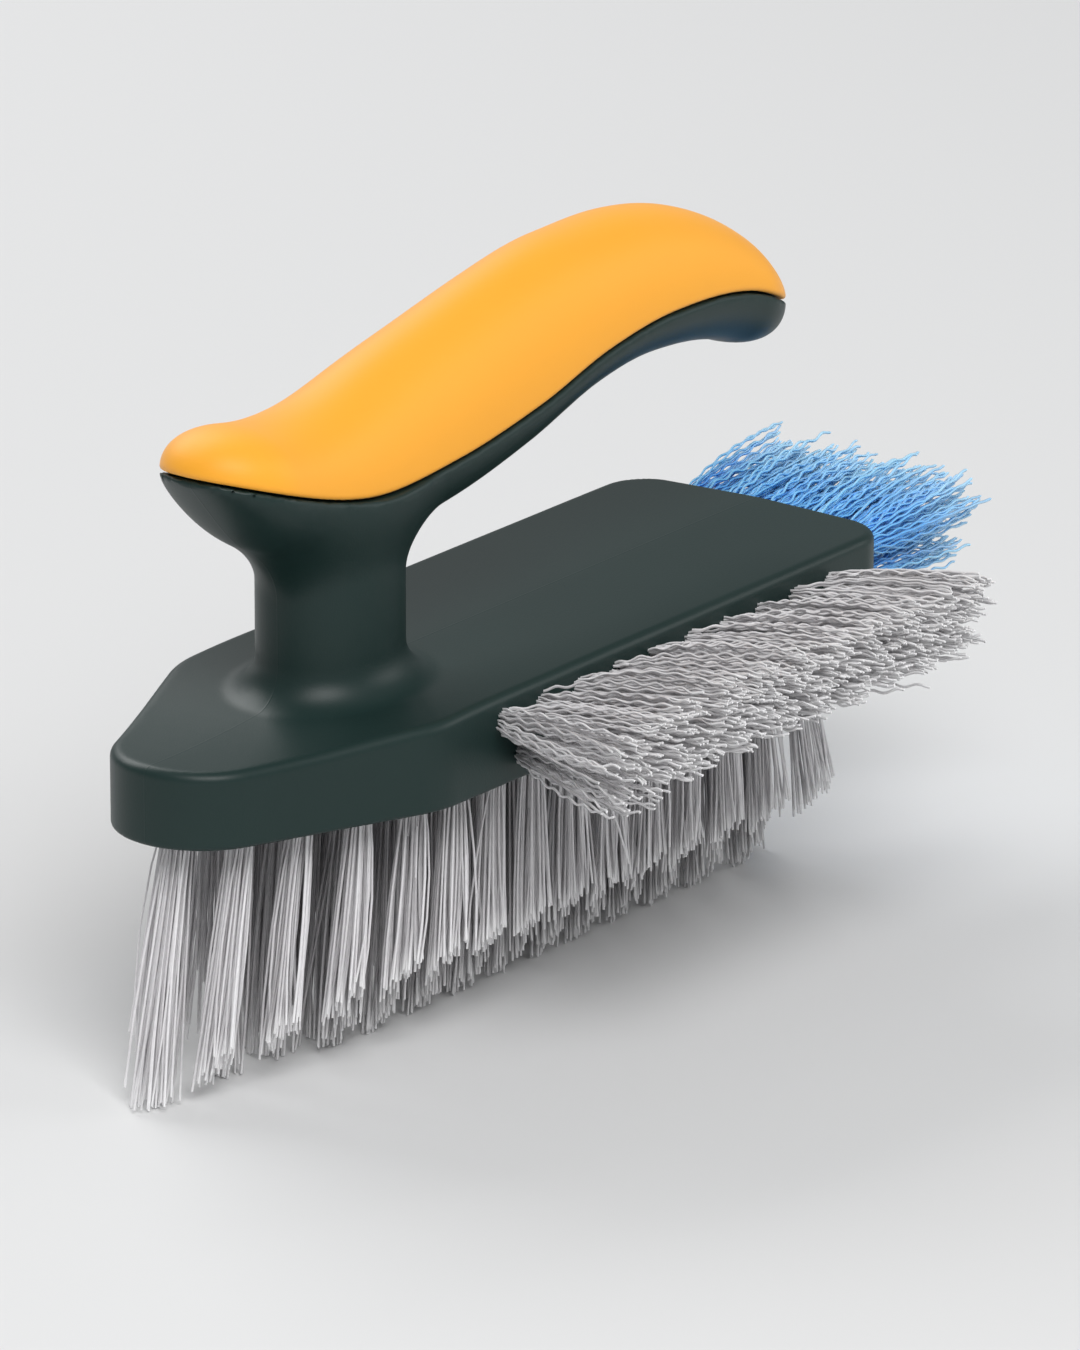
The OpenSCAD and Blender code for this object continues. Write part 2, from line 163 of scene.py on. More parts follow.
def makeGreen():
    # a fine parting line stands up along the middle of the moulding
    material, tree, surface = newMaterial("greenPlastic", {"Specular IOR Level": 0.32})
    where = addNode(tree, "ShaderNodeTexCoord", output="Object")
    across = addNode(tree, "ShaderNodeSeparateXYZ", {}, {"Vector": where}, "Y")
    cloud = noise(tree, where, greenLook["cloud"], detail=3.0)
    grain = noise(tree, where, greenLook["grain"])
    fromMiddle = abs(across - place[1] / 1000)
    partingLine = 1 - smoothMask(tree, fromMiddle, greenLook["partingInner"], greenLook["partingOuter"])
    height = grain + partingLine * greenLook["partingRise"]
    feed(surface, {"Base Color": mixColour(tree, cloud, greenLook["deep"], greenLook["base"]),
                   "Roughness": (greenLook["rough"] + cloud * greenLook["cloudRough"]
                                 + grain * greenLook["grainRough"]),
                   "Normal": bump(tree, height, greenLook["grainDepth"])})
    return material


gripLook = {"base": (0.99, 0.435, 0.028, 1), "warm": (0.99, 0.41, 0.020, 1), "cloud": 16.0,
            "rough": 0.46, "cloudRough": 0.1, "grainRough": 0.06, "grain": 3200.0, "grainDepth": 0.000015}


def makeOrange():
    finish = {"Specular IOR Level": 0.45, "Sheen Weight": 0.15, "Sheen Roughness": 0.4}
    material, tree, surface = newMaterial("orangeGrip", finish)
    where = addNode(tree, "ShaderNodeTexCoord", output="Object")
    cloud = noise(tree, where, gripLook["cloud"], detail=3.0)
    grain = noise(tree, where, gripLook["grain"])
    feed(surface, {"Base Color": mixColour(tree, cloud, gripLook["warm"], gripLook["base"]),
                   "Roughness": (gripLook["rough"] + cloud * gripLook["cloudRough"]
                                 + grain * gripLook["grainRough"]),
                   "Normal": bump(tree, grain, gripLook["grainDepth"])})
    return material


nylonLook = {"toneShare": 0.75, "tipShare": 0.5, "streak": 700.0, "streakRough": 0.12,
             "streakDepth": 0.00001}
greyLook = {"dark": (0.30, 0.29, 0.30, 1), "light": (0.97, 0.955, 0.97, 1), "tip": (1.0, 1.0, 1.0, 1),
            "tipStart": 0.85, "rough": 0.30}
blueLook = {"dark": (0.05, 0.34, 0.98, 1), "light": (0.24, 0.66, 1.0, 1), "tip": (0.70, 0.95, 1.0, 1),
            "tipStart": 0.35, "rough": 0.28}


def makeNylon(name, look):
    # each filament has its own tone, and turns to the colour of the tips along its length
    material, tree, surface = newMaterial(name, {"Specular IOR Level": 0.6, "Sheen Weight": 0.1})
    where = addNode(tree, "ShaderNodeTexCoord", output="Object")
    tone = addNode(tree, "ShaderNodeAttribute", {"attribute_name": "tone"}, output="Fac")
    along = addNode(tree, "ShaderNodeAttribute", {"attribute_name": "along"}, output="Fac")
    streak = noise(tree, where, nylonLook["streak"])
    tipMask = smoothMask(tree, along, look["tipStart"], 1.0)
    shade = tone * nylonLook["toneShare"] + streak * (1 - nylonLook["toneShare"])
    body = mixColour(tree, shade, look["dark"], look["light"])
    feed(surface, {"Base Color": mixColour(tree, tipMask * nylonLook["tipShare"], body, look["tip"]),
                   "Roughness": look["rough"] + streak * nylonLook["streakRough"],
                   "Normal": bump(tree, streak, nylonLook["streakDepth"])})
    return material


wireLook = {"dark": (0.5, 0.5, 0.51, 1), "light": (0.68, 0.68, 0.69, 1), "streak": 1500.0,
            "rough": 0.3, "streakRough": 0.15}


def makeWire():
    material, tree, surface = newMaterial("wireAnchor", {"Metallic": 1.0})
    where = addNode(tree, "ShaderNodeTexCoord", output="Object")
    streak = noise(tree, where, wireLook["streak"], detail=3.0)
    feed(surface, {"Base Color": mixColour(tree, streak, wireLook["dark"], wireLook["light"]),
                   "Roughness": wireLook["rough"] + streak * wireLook["streakRough"]})
    return material


greenPlastic = makeGreen()
orangeGrip = makeOrange()
greyNylon = makeNylon("greyNylon", greyLook)
blueNylon = makeNylon("blueNylon", blueLook)
wireAnchor = makeWire()
print("materials made")

# Moulded forms, as distance fields in millimetres
block = {"length": 204.0, "width": 66.5, "noseThick": 15.0, "shoulderThick": 18.4, "rearThick": 20.2,
         "crown": 0.9, "creaseR": 2.0, "softening": (-12, -8, -4, 0, 4, 8, 12), "planesPerArc": 19,
         "noseR": 18.0, "shoulderR": 24.0, "cornerR": 10.0, "noseAngle": 23.0, "topR": 1.9, "lowR": 0.7}
column = {"x": -44.0, "halfLength": 16.7, "halfWidth": 13.5, "footFillet": 7.0, "headDrop": 4.0,
          "rearFillet": 10.0, "frontFillet": 9.5, "sideFillet": 7.0}
handle = {"start": -88.2, "length": 187.7, "halfWidth": 15.0, "tipR": 16.5, "power": 2.2, "wall": 2.6,
          "leastHeight": 2.0, "probe": 0.2,
          "line": [(0, 70.2), (0.2, 59.7), (0.35, 60.6), (0.5, 65.5), (0.62, 71.6),
                   (0.74, 74.6), (0.88, 73.0), (1, 64.5)],
          "rise": [(0, 10.0), (0.12, 13.0), (0.3, 22.2), (0.5, 25.0), (0.66, 21.0),
                   (0.8, 17.6), (0.92, 12.0), (1, 6.0)],
          "keel": [(0, 4.5), (0.1, 13.4), (0.2, 13.0), (0.4, 12.4), (0.65, 10.4), (0.88, 12.2), (1, 12.2)]}


def curveAt(points, u):
    # a smooth curve through the points, carried on a little past both ends
    us, vs = np.array(points, float).T
    last = len(us) - 1
    before, after = np.maximum(np.arange(last + 1) - 1, 0), np.minimum(np.arange(last + 1) + 1, last)
    slopes = (vs[after] - vs[before]) / (us[after] - us[before])
    i = np.clip(np.searchsorted(us, u) - 1, 0, last - 1)
    h = us[i + 1] - us[i]
    t = np.clip((u - us[i]) / h, -0.3, 1.3)
    return (vs[i] * (2 * t**3 - 3 * t * t + 1) + slopes[i] * h * (t**3 - 2 * t * t + t)
            + vs[i + 1] * (3 * t * t - 2 * t**3) + slopes[i + 1] * h * (t**3 - t * t))


def handleNorm(x, y, z):
    # 1 on the handle's surface, less inside it
    u = (x - handle["start"]) / handle["length"]
    v = z - curveAt(handle["line"], u)
    height = np.where(v > 0, curveAt(handle["rise"], u), curveAt(handle["keel"], u))
    power = handle["power"]
    sideways = np.abs(y / handle["halfWidth"])
    upright = np.abs(v / np.maximum(height, handle["leastHeight"]))
    rho = (sideways ** power + upright ** power) ** (1 / power)
    inward = np.minimum(u, 1 - u) * handle["length"]
    q = np.maximum(0, 1 - inward / handle["tipR"])
    return np.sqrt(rho * rho + q * q)


def handleField(x, y, z):
    probe = handle["probe"]
    norm = handleNorm(x, y, z)
    change = ((handleNorm(x + probe, y, z) - norm) ** 2 + (handleNorm(x, y + probe, z) - norm) ** 2
              + (handleNorm(x, y, z + probe) - norm) ** 2)
    return (norm - 1) * probe / np.sqrt(change + 1e-9)


def aboveLine(x, z):
    # how far a place is above the line where the grip meets the moulding
    u, nearby = (x - handle["start"]) / handle["length"], 0.005
    rise = curveAt(handle["line"], u + nearby) - curveAt(handle["line"], u - nearby)
    slope = rise / (2 * nearby * handle["length"])
    return (z - curveAt(handle["line"], u)) / np.sqrt(1 + slope * slope)


def roundMax(a, b, r):
    return np.minimum(np.maximum(a, b), -r) + np.sqrt(np.maximum(a + r, 0) ** 2 + np.maximum(b + r, 0) ** 2)


def roundMin(a, b, r):
    return np.maximum(np.minimum(a, b), r) - np.sqrt(np.maximum(r - a, 0) ** 2 + np.maximum(r - b, 0) ** 2)


def outlinePlanes():
    # upright planes around half of the block's outline, which its field mirrors
    halfL, halfW, angle = block["length"] / 2, block["width"] / 2, math.radians(block["noseAngle"])
    noseX = block["noseR"] - halfL
    shoulderX = (noseX - block["noseR"] * math.sin(angle)
                 + (halfW - block["noseR"] * math.cos(angle)) / math.tan(angle))
    shoulderCentre = shoulderX + block["shoulderR"] * math.tan(angle / 2)
    arcs = [(noseX, 0.0, block["noseR"], math.pi, math.pi / 2 + angle),
            (shoulderCentre, halfW - block["shoulderR"], block["shoulderR"],
             math.pi / 2 + angle, math.pi / 2),
            (halfL - block["cornerR"], halfW - block["cornerR"], block["cornerR"], math.pi / 2, 0.0)]
    planes = []
    for cx, cy, r, first, last in arcs:
        for t in np.linspace(first, last, block["planesPerArc"]):
            nx, ny = math.cos(t), math.sin(t)
            planes.append((nx, ny, nx * cx + ny * cy + r))
    return planes, noseX, shoulderCentre


planes, noseX, shoulderCentre = outlinePlanes()


def blockTop(x, y):
    rearX = block["length"] / 2 - block["cornerR"]
    # the slopes run into each other, and only a faint crease is left along the middle
    thicks = [block["noseThick"], block["shoulderThick"], block["rearThick"]]
    edge = sum(np.interp(x + shift, [noseX, shoulderCentre, rearX], thicks) for shift in block["softening"])
    crease = np.sqrt(y * y + block["creaseR"] ** 2)
    return edge / len(block["softening"]) + block["crown"] * (1 - crease / (block["width"] / 2))


def blockField(x, y, z):
    side = -1e9
    for nx, ny, reach in planes:
        side = np.maximum(side, nx * x + ny * np.abs(y) - reach)
    top = z - blockTop(x, y)
    return roundMax(roundMax(side, top, block["topR"]), -z, block["lowR"])


def columnField(x, y, z):
    a, b = (x - column["x"]) / column["halfLength"], y / column["halfWidth"]
    norm = np.sqrt(a * a + b * b) + 1e-6
    gradient = np.sqrt((a / column["halfLength"]) ** 2 + (b / column["halfWidth"]) ** 2) / norm + 1e-6
    return (norm - 1) / gradient, a / norm


seam = {"lower": -0.45, "upper": 0.1, "lowerR": 0.35, "upperR": 0.9}


def bodyField(x, y, z):
    whole, line = handleField(x, y, z), aboveLine(x, z)
    wall, facing = columnField(x, y, z)
    wall = np.maximum(wall, line + column["headDrop"])
    endFillet = np.where(facing > 0, column["rearFillet"], column["frontFillet"])
    fillet = column["sideFillet"] + (endFillet - column["sideFillet"]) * facing * facing
    outer = roundMin(wall, np.maximum(whole, line), fillet)
    outer = roundMax(outer, line - seam["lower"], seam["lowerR"])
    return roundMin(np.minimum(outer, whole + handle["wall"]), blockField(x, y, z), column["footFillet"])


def gripField(x, y, z):
    whole, line = handleField(x, y, z), aboveLine(x, z)
    return np.maximum(roundMax(whole, seam["upper"] - line, seam["upperR"]), -whole - handle["wall"])


net = {"probe": 0.05, "pulls": 3, "longestPull": 0.5}


def netPoints(values, lines):
    # one point in each cell that the surface crosses, the mean of the crossings on the cell's edges
    inside = values < 0
    cells = tuple(n - 1 for n in values.shape)
    total, count = np.zeros(cells + (3,)), np.zeros(cells)
    for axis in range(3):
        for corner in ((0, 0), (0, 1), (1, 0), (1, 1)):
            near, far = np.insert(corner, axis, 0), np.insert(corner, axis, 1)
            start = tuple(slice(first, first + n) for first, n in zip(near, cells))
            end = tuple(slice(first, first + n) for first, n in zip(far, cells))
            crossing = inside[start] != inside[end]
            index = np.nonzero(crossing)
            a, b = values[start][crossing], values[end][crossing]
            for c in range(3):
                low, high = lines[c][index[c] + near[c]], lines[c][index[c] + far[c]]
                total[(*index, c)] += low + a / (a - b) * (high - low)
            count[index] += 1
    used = count > 0
    number = -np.ones(cells, int)
    number[used] = np.arange(used.sum())
    return total[used] / count[used][:, None], number


def netFaces(inside, number):
    # one face around each edge of the grid that the surface crosses, turned outward
    faces = []
    for axis, b, c in ((0, 1, 2), (1, 2, 0), (2, 0, 1)):
        low, high = [slice(None)] * 3, [slice(None)] * 3
        low[axis], high[axis] = slice(0, -1), slice(1, None)
        spot = np.array(np.nonzero(inside[tuple(low)] != inside[tuple(high)]))
        within = (spot[b] > 0) & (spot[c] > 0) & (spot[b] < number.shape[b]) & (spot[c] < number.shape[c])
        spot = spot[:, within]
        corners = []
        for db, dc in ((1, 1), (0, 1), (0, 0), (1, 0)):
            cell = spot.copy()
            cell[b] -= db
            cell[c] -= dc
            corners.append(number[tuple(cell)])
        quads = np.stack(corners, 1)
        backward = ~inside[tuple(spot)]
        quads[backward] = quads[backward][:, ::-1]
        faces.append(quads)
    return np.concatenate(faces)


def pulledToSurface(field, points):
    # the points, moved along the field's slope onto the surface
    probe = net["probe"]
    for _ in range(net["pulls"]):
        x, y, z = points.T
        slope = np.stack([field(x + probe, y, z) - field(x - probe, y, z),
                          field(x, y + probe, z) - field(x, y - probe, z),
                          field(x, y, z + probe) - field(x, y, z - probe)], 1) / (2 * probe)
        step = (field(x, y, z) / (np.sum(slope * slope, 1) + 1e-6))[:, None] * slope
        points = points - np.clip(step, -net["longestPull"], net["longestPull"])
    return points


def surfaceNet(field, grid):
    lines = (grid["x"], grid["y"], grid["z"])
    values = field(lines[0][:, None, None], lines[1][None, :, None], lines[2][None, None, :])
    values = np.ascontiguousarray(np.broadcast_to(values, tuple(len(line) for line in lines)))
    points, number = netPoints(values, lines)
    return pulledToSurface(field, points), netFaces(values < 0, number)


def meshObject(name, points, faces, material):
    mesh = bpy.data.meshes.new(name)
    mesh.from_pydata(points.tolist(), [], faces.tolist())
    mesh.shade_smooth()
    mesh.materials.append(material)
    piece = bpy.data.objects.new(name, mesh)
    bpy.context.scene.collection.objects.link(piece)
    return piece


def spaced(*stops):
    out = [np.array([stops[0]])]
    for start, step, end in zip(stops[0::2], stops[1::2], stops[2::2]):
        n = max(1, round((end - start) / step))
        out.append(np.linspace(start, end, n + 1)[1:])
    return np.concatenate(out)


# Grids are given as place, step, place, step, place, and are finest at the edges that are rounded
bodyGrid = {"x": spaced(-103.2, 0.55, -100.2, 0.95, 98.8, 0.55, 103.2),
            "y": spaced(-34.1, 0.5, -30.6, 0.95, 30.6, 0.5, 34.1),
            "z": spaced(-0.9, 0.45, 1.4, 1.2, 12.8, 0.55, 22.0, 0.95, 102.0)}
gripGrid = {"x": spaced(-90.0, 0.6, 101.2), "y": spaced(-16.0, 0.6, 16.0), "z": spaced(56.0, 0.6, 101.0)}

points, faces = surfaceNet(bodyField, bodyGrid)
bodyPiece = meshObject("moulded_body", toFrame(points), faces, greenPlastic)
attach(bodyPiece, "root")
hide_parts("block_and_handle")
print("body:", len(faces) * 2, "triangles")

points, faces = surfaceNet(gripField, gripGrid)
gripPiece = meshObject("soft_handle_grip", toFrame(points), faces, orangeGrip)
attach(gripPiece, "root")
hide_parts("soft_grip")
print("grip:", len(faces) * 2, "triangles")

# Layout of the tufts, as in the CAD
tufts = {"pitch": 12.9, "inset": 11.3, "rowGap": 11.0, "rows": 15,
         "corner": 4, "innerFrom": 3, "middleFrom": 2,
         "sideStart": 70.6, "sidePitch": 12.3, "sideCount": 10, "rearPitch": 10.6,
         "lowRow": 5.4, "rowRise": 7.8, "noseLean": 13.0, "nosePower": 1.6, "rearLean": 20.0, "rearPower": 4,
         "noseFlat": 3.5, "flatHalf": 9.0, "trimSlope": math.tan(math.radians(50.0))}
rimR = block["noseR"] - tufts["inset"]
rimY = block["width"] / 2 - tufts["inset"]
taperAngle = math.radians(block["noseAngle"])
taperStart = noseX - rimR * math.sin(taperAngle)
rimCornerX = taperStart + (rimY - rimR * math.cos(taperAngle)) / math.tan(taperAngle)


def rimPoint(s):
    # a place on the outer ring of tufts, by its way along the ring from the nose
    arc = rimR * (math.pi / 2 - taperAngle)
    taper = (rimY - rimR * math.cos(taperAngle)) / math.sin(taperAngle)
    if s < arc:
        return noseX - rimR * math.cos(s / rimR), rimR * math.sin(s / rimR)
    if s < arc + taper:
        d = s - arc
        return (taperStart + d * math.cos(taperAngle),
                rimR * math.cos(taperAngle) + d * math.sin(taperAngle))
    return rimCornerX + s - arc - taper, rimY


def bottomMouths():
    # the last number tells the tufts inside the outer ring, whose darker tone is painted shade in the gaps
    # between the tufts
    mouths = []
    rimX = [rimPoint(i * tufts["pitch"])[0] for i in range(tufts["rows"])]
    for i in range(tufts["rows"]):
        x, y = rimPoint(i * tufts["pitch"])
        mouths += [(x, 0.0, 0)] if i == 0 else [(x, -y, 0), (x, y, 0)]
        if tufts["innerFrom"] <= i < tufts["rows"] - 1:
            between = x + tufts["pitch"] / 2
            mouths += [(between, -tufts["rowGap"], 1), (between, tufts["rowGap"], 1)]
        if i >= tufts["middleFrom"]:
            middle = rimX[max(i, tufts["corner"])] + min(0, i - tufts["corner"]) * tufts["pitch"]
            mouths.append((middle, 0.0, 1))
    return mouths


def leanAt(x):
    # the bottom tufts lean outward towards the nose and the rear end
    f = (x + block["length"] / 2) / block["length"]
    if f < 0.5:
        return -tufts["noseLean"] * (1 - 2 * f) ** tufts["nosePower"]
    return tufts["rearLean"] * (2 * f - 1) ** tufts["rearPower"]


def trimHeight(x, y):
    # the tips are trimmed as a blunt V, whose flat middle is narrow at the nose
    f = np.clip((x - noseX + rimR) / (rimCornerX - noseX + rimR), 0, 1)
    flatHalf = tufts["noseFlat"] + (tufts["flatHalf"] - tufts["noseFlat"]) * f
    return np.maximum(0, np.abs(y) - flatHalf) * tufts["trimSlope"]


goldenAngle = 2.39996
fullTurn = 6.28
discShake = 0.06


def discPoints(rng, n):
    # an even spread over a disc of radius 1, a little shaken
    k = np.arange(n) + 0.5
    r, t = np.sqrt(k / n), k * goldenAngle + rng.uniform(0, fullTurn)
    return np.stack([r * np.cos(t), r * np.sin(t)], 1) + rng.normal(0, discShake, (n, 2))


# Filaments, grown with Geometry Nodes
strandSockets = (("Strand Radius", "Float", 0.0003), ("Thickness Change", "Float", 0.1),
                 ("Crimp Height", "Float", 0.0), ("Crimp Length", "Float", 0.005),
                 ("Flare Power", "Float", 1.0), ("Rings", "Int", 5), ("Sides", "Int", 4),
                 ("Seed", "Int", 1), ("Finish", "Material", None))


def strandTree(name):
    tree = bpy.data.node_groups.new(name, "GeometryNodeTree")
    face = tree.interface
    face.new_socket("Geometry", in_out="INPUT", socket_type="NodeSocketGeometry")
    inputs = {}
    for label, kind, value in strandSockets:
        socket = face.new_socket(label, in_out="INPUT", socket_type="NodeSocket" + kind)
        if value is not None:
            socket.default_value = value
        inputs[label] = socket.identifier
    face.new_socket("Geometry", in_out="OUTPUT", socket_type="NodeSocketGeometry")
    entry = tree.nodes.new("NodeGroupInput")
    given = {socket.name: Link(tree, socket) for socket in entry.outputs if socket.name}

    def attribute(label, kind="FLOAT"):
        return addNode(tree, "GeometryNodeInputNamedAttribute", {"data_type": kind}, {"Name": label})

    def vectorMaths(operation, first, second, output=0):
        values = {0: first, "Scale": second} if operation == "SCALE" else {0: first, 1: second}
        return addNode(tree, "ShaderNodeVectorMath", {"operation": operation}, values, output)

    # one straight strand of unit length, with how far along it each ring is
    rail = addNode(tree, "GeometryNodeCurvePrimitiveLine", {}, {"Start": (0, 0, 0), "End": (0, 0, 1)})
    rail = addNode(tree, "GeometryNodeResampleCurve", {}, {"Curve": rail, "Count": given["Rings"]})
    ring = addNode(tree, "GeometryNodeCurvePrimitiveCircle", {},
                   {"Resolution": given["Sides"], "Radius": 1.0})
    strand = addNode(tree, "GeometryNodeCurveToMesh", {},
                     {"Curve": rail, "Profile Curve": ring, "Fill Caps": True})
    position = addNode(tree, "GeometryNodeInputPosition")
    height = addNode(tree, "ShaderNodeSeparateXYZ", {}, {"Vector": position}, "Z")
    strand = addNode(tree, "GeometryNodeStoreNamedAttribute", {"data_type": "FLOAT", "domain": "POINT"},
                     {"Geometry": strand, "Name": "along", "Value": height})
    # a copy at each root, turned to its reach and a little thicker or thinner than the next
    reach = attribute("reach", "FLOAT_VECTOR")
    length = vectorMaths("LENGTH", reach, (0, 0, 0), 1)
    turn = addNode(tree, "FunctionNodeAlignRotationToVector", {"axis": "Z"}, {"Vector": reach})
    change = addNode(tree, "FunctionNodeRandomValue", {"data_type": "FLOAT"},
                     {2: -1.0, 3: 1.0, "Seed": given["Seed"]}, 1)
    radius = given["Strand Radius"] * (1 + change * given["Thickness Change"])
    size = addNode(tree, "ShaderNodeCombineXYZ", {}, {"X": radius, "Y": radius, "Z": length})
    copies = addNode(tree, "GeometryNodeInstanceOnPoints", {},
                     {"Points": given["Geometry"], "Instance": strand, "Rotation": turn, "Scale": size})
    whole = addNode(tree, "GeometryNodeRealizeInstances", {}, {"Geometry": copies})
    # flare from the root, bow, and crimp that fades in at the root
    along = attribute("along")
    turnsMade = along * length * (2 * math.pi) / given["Crimp Length"] + attribute("phase")
    curl = maths(tree, "SINE", turnsMade)
    fade = addNode(tree, "ShaderNodeMapRange", {},
                   {"Value": along, "From Min": 0.0, "From Max": 0.1, "To Min": 0.0, "To Max": 1.0})
    crimp = curl * given["Crimp Height"] * fade
    opened = 1 - abs(1 - along) ** given["Flare Power"]
    shift = vectorMaths("SCALE", attribute("flare", "FLOAT_VECTOR"), opened)
    bowed = vectorMaths("SCALE", attribute("bow", "FLOAT_VECTOR"), along * (1 - along) * 4.0)
    waved = vectorMaths("SCALE", attribute("swing", "FLOAT_VECTOR"), crimp)
    shift = vectorMaths("ADD", vectorMaths("ADD", shift, bowed), waved)
    whole = addNode(tree, "GeometryNodeSetPosition", {}, {"Geometry": whole, "Offset": shift})
    whole = addNode(tree, "GeometryNodeSetShadeSmooth", {}, {"Geometry": whole, "Shade Smooth": True})
    whole = addNode(tree, "GeometryNodeSetMaterial", {}, {"Geometry": whole, "Material": given["Finish"]})
    leave = tree.nodes.new("NodeGroupOutput")
    tree.links.new(whole.socket, leave.inputs[0])
    return tree, inputs


strands, strandInputs = strandTree("strands")


def growStrands(name, shape, settings, material, prefix):
    # one vertex for each root; the rest of each strand's shape is in attributes, in metres
    shape = {label: np.concatenate(values) for label, values in shape.items()}
    mesh = bpy.data.meshes.new(name)
    mesh.from_pydata(toFrame(shape.pop("root")).tolist(), [], [])
    for label, values in shape.items():
        kind, field = ("FLOAT_VECTOR", "vector") if values.ndim == 2 else ("FLOAT", "value")
        if label in ("reach", "flare", "bow"):
            values = values / 1000
        mesh.attributes.new(label, kind, "POINT").data.foreach_set(field, values.astype(np.float32).ravel())
    seedPiece = bpy.data.objects.new(name + "_roots", mesh)
    bpy.context.scene.collection.objects.link(seedPiece)
    grow = seedPiece.modifiers.new("strands", "NODES")
    grow.node_group = strands
    for label, value in {**settings, "Finish": material}.items():
        grow[strandInputs[label]] = value
    bpy.context.view_layer.update()
    grown = bpy.data.meshes.new_from_object(seedPiece.evaluated_get(bpy.context.evaluated_depsgraph_get()))
    seedPiece.modifiers.clear()
    bpy.data.objects.remove(seedPiece)
    grown.name = name
    piece = bpy.data.objects.new(name, grown)
    bpy.context.scene.collection.objects.link(piece)
    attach(piece, "root")
    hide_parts(*[node for node in frame["nodes"] if node.startswith(prefix)])
    triangles = sum(len(p.vertices) - 2 for p in grown.polygons)
    print(name + ":", len(values), "strands,", triangles, "triangles")


attributeNames = ("root", "reach", "flare", "bow", "swing", "phase", "tone")
bottomLook = {"seed": 11, "perTuft": 40, "rootZ": 1.5, "rootR": 2.3, "tipR": 4.1, "tipChange": (0.85, 1.15),
              "tipShake": 0.6, "bow": 0.6, "strays": 0.03, "strayReach": 4.0, "endShake": 0.8,
              # the tufts inside the outer ring get a lower tone, which is painted shade between the tufts
              "outerTone": 0.72, "innerPaintedShadeTone": 0.25, "toneShake": 0.2,
              "tipLow": (-107.0, -29.0), "tipHigh": (104.0, 29.0),
              "tree": {"Strand Radius": 0.00029, "Thickness Change": 0.12, "Flare Power": 1.15,
                       "Rings": 5, "Sides": 4, "Seed": 3}}


def bottomBristles():
    rng = np.random.default_rng(bottomLook["seed"])
    shape = {label: [] for label in attributeNames}
    n = bottomLook["perTuft"]
    for x, y, inner in bottomMouths():
        disc = discPoints(rng, n)
        root = np.array([x, y]) + disc * bottomLook["rootR"]
        spread = disc * (bottomLook["tipR"] * rng.uniform(*bottomLook["tipChange"]) - bottomLook["rootR"])
        spread += rng.normal(0, bottomLook["tipShake"], (n, 2))
        loose = rng.random(n) < bottomLook["strays"]
        spread[loose] += rng.normal(0, bottomLook["strayReach"], (loose.sum(), 2))
        tip = np.clip(root + spread + (leanAt(x), 0.0), bottomLook["tipLow"], bottomLook["tipHigh"])
        short = np.abs(rng.normal(0, bottomLook["endShake"], n))
        end = trimHeight(tip[:, 0], tip[:, 1]) + short - bristleReach
        flat = np.zeros(n)
        shape["root"].append(np.column_stack([root, flat + bottomLook["rootZ"]]))
        shape["reach"].append(np.column_stack([flat + leanAt(x), flat, end - bottomLook["rootZ"]]))
        shape["flare"].append(np.column_stack([tip - root - (leanAt(x), 0.0), flat]))
        shape["bow"].append(np.column_stack([rng.normal(0, bottomLook["bow"], (n, 2)), flat]))
        shape["swing"].append(np.zeros((n, 3)))
        shape["phase"].append(flat)
        # a lower tone for the tufts inside the outer ring paints the shade that falls between the tufts
        tone = bottomLook["innerPaintedShadeTone"] if inner else bottomLook["outerTone"]
        shape["tone"].append(np.clip(rng.normal(tone, bottomLook["toneShake"], n), 0, 1))
    growStrands("bottom_bristles", shape, bottomLook["tree"], greyNylon, "bottom_tufts")


crimpLook = {"rootR": 2.3, "rootDepth": 1.2, "reach": 38.0, "endShake": 1.3, "bow": 0.7, "fanShake": 0.1,
             "fanPower": 1.5, "turn": 0.5, "swing": (0.5, 1.35), "phaseShake": 1.5,
             "tone": 0.75, "toneShake": 0.2}
sideTufts = {"perTuft": 50, "out": (0.0, -1.0, 0.0), "across": (1.0, 0.0, 0.0),
             "material": greyNylon, "slot": "grey_bristle",
             "tree": {"Strand Radius": 0.00033, "Thickness Change": 0.12, "Crimp Height": 0.00032,
                      "Crimp Length": 0.0060, "Flare Power": 3.0, "Rings": 52, "Sides": 3, "Seed": 5}}
rearTufts = {"perTuft": 68, "out": (1.0, 0.0, 0.0), "across": (0.0, 1.0, 0.0),
             "material": blueNylon, "slot": "blue_bristle",
             "tree": {"Strand Radius": 0.00034, "Thickness Change": 0.12, "Crimp Height": 0.00034,
                      "Crimp Length": 0.0054, "Flare Power": 2.2, "Rings": 50, "Sides": 3, "Seed": 7}}


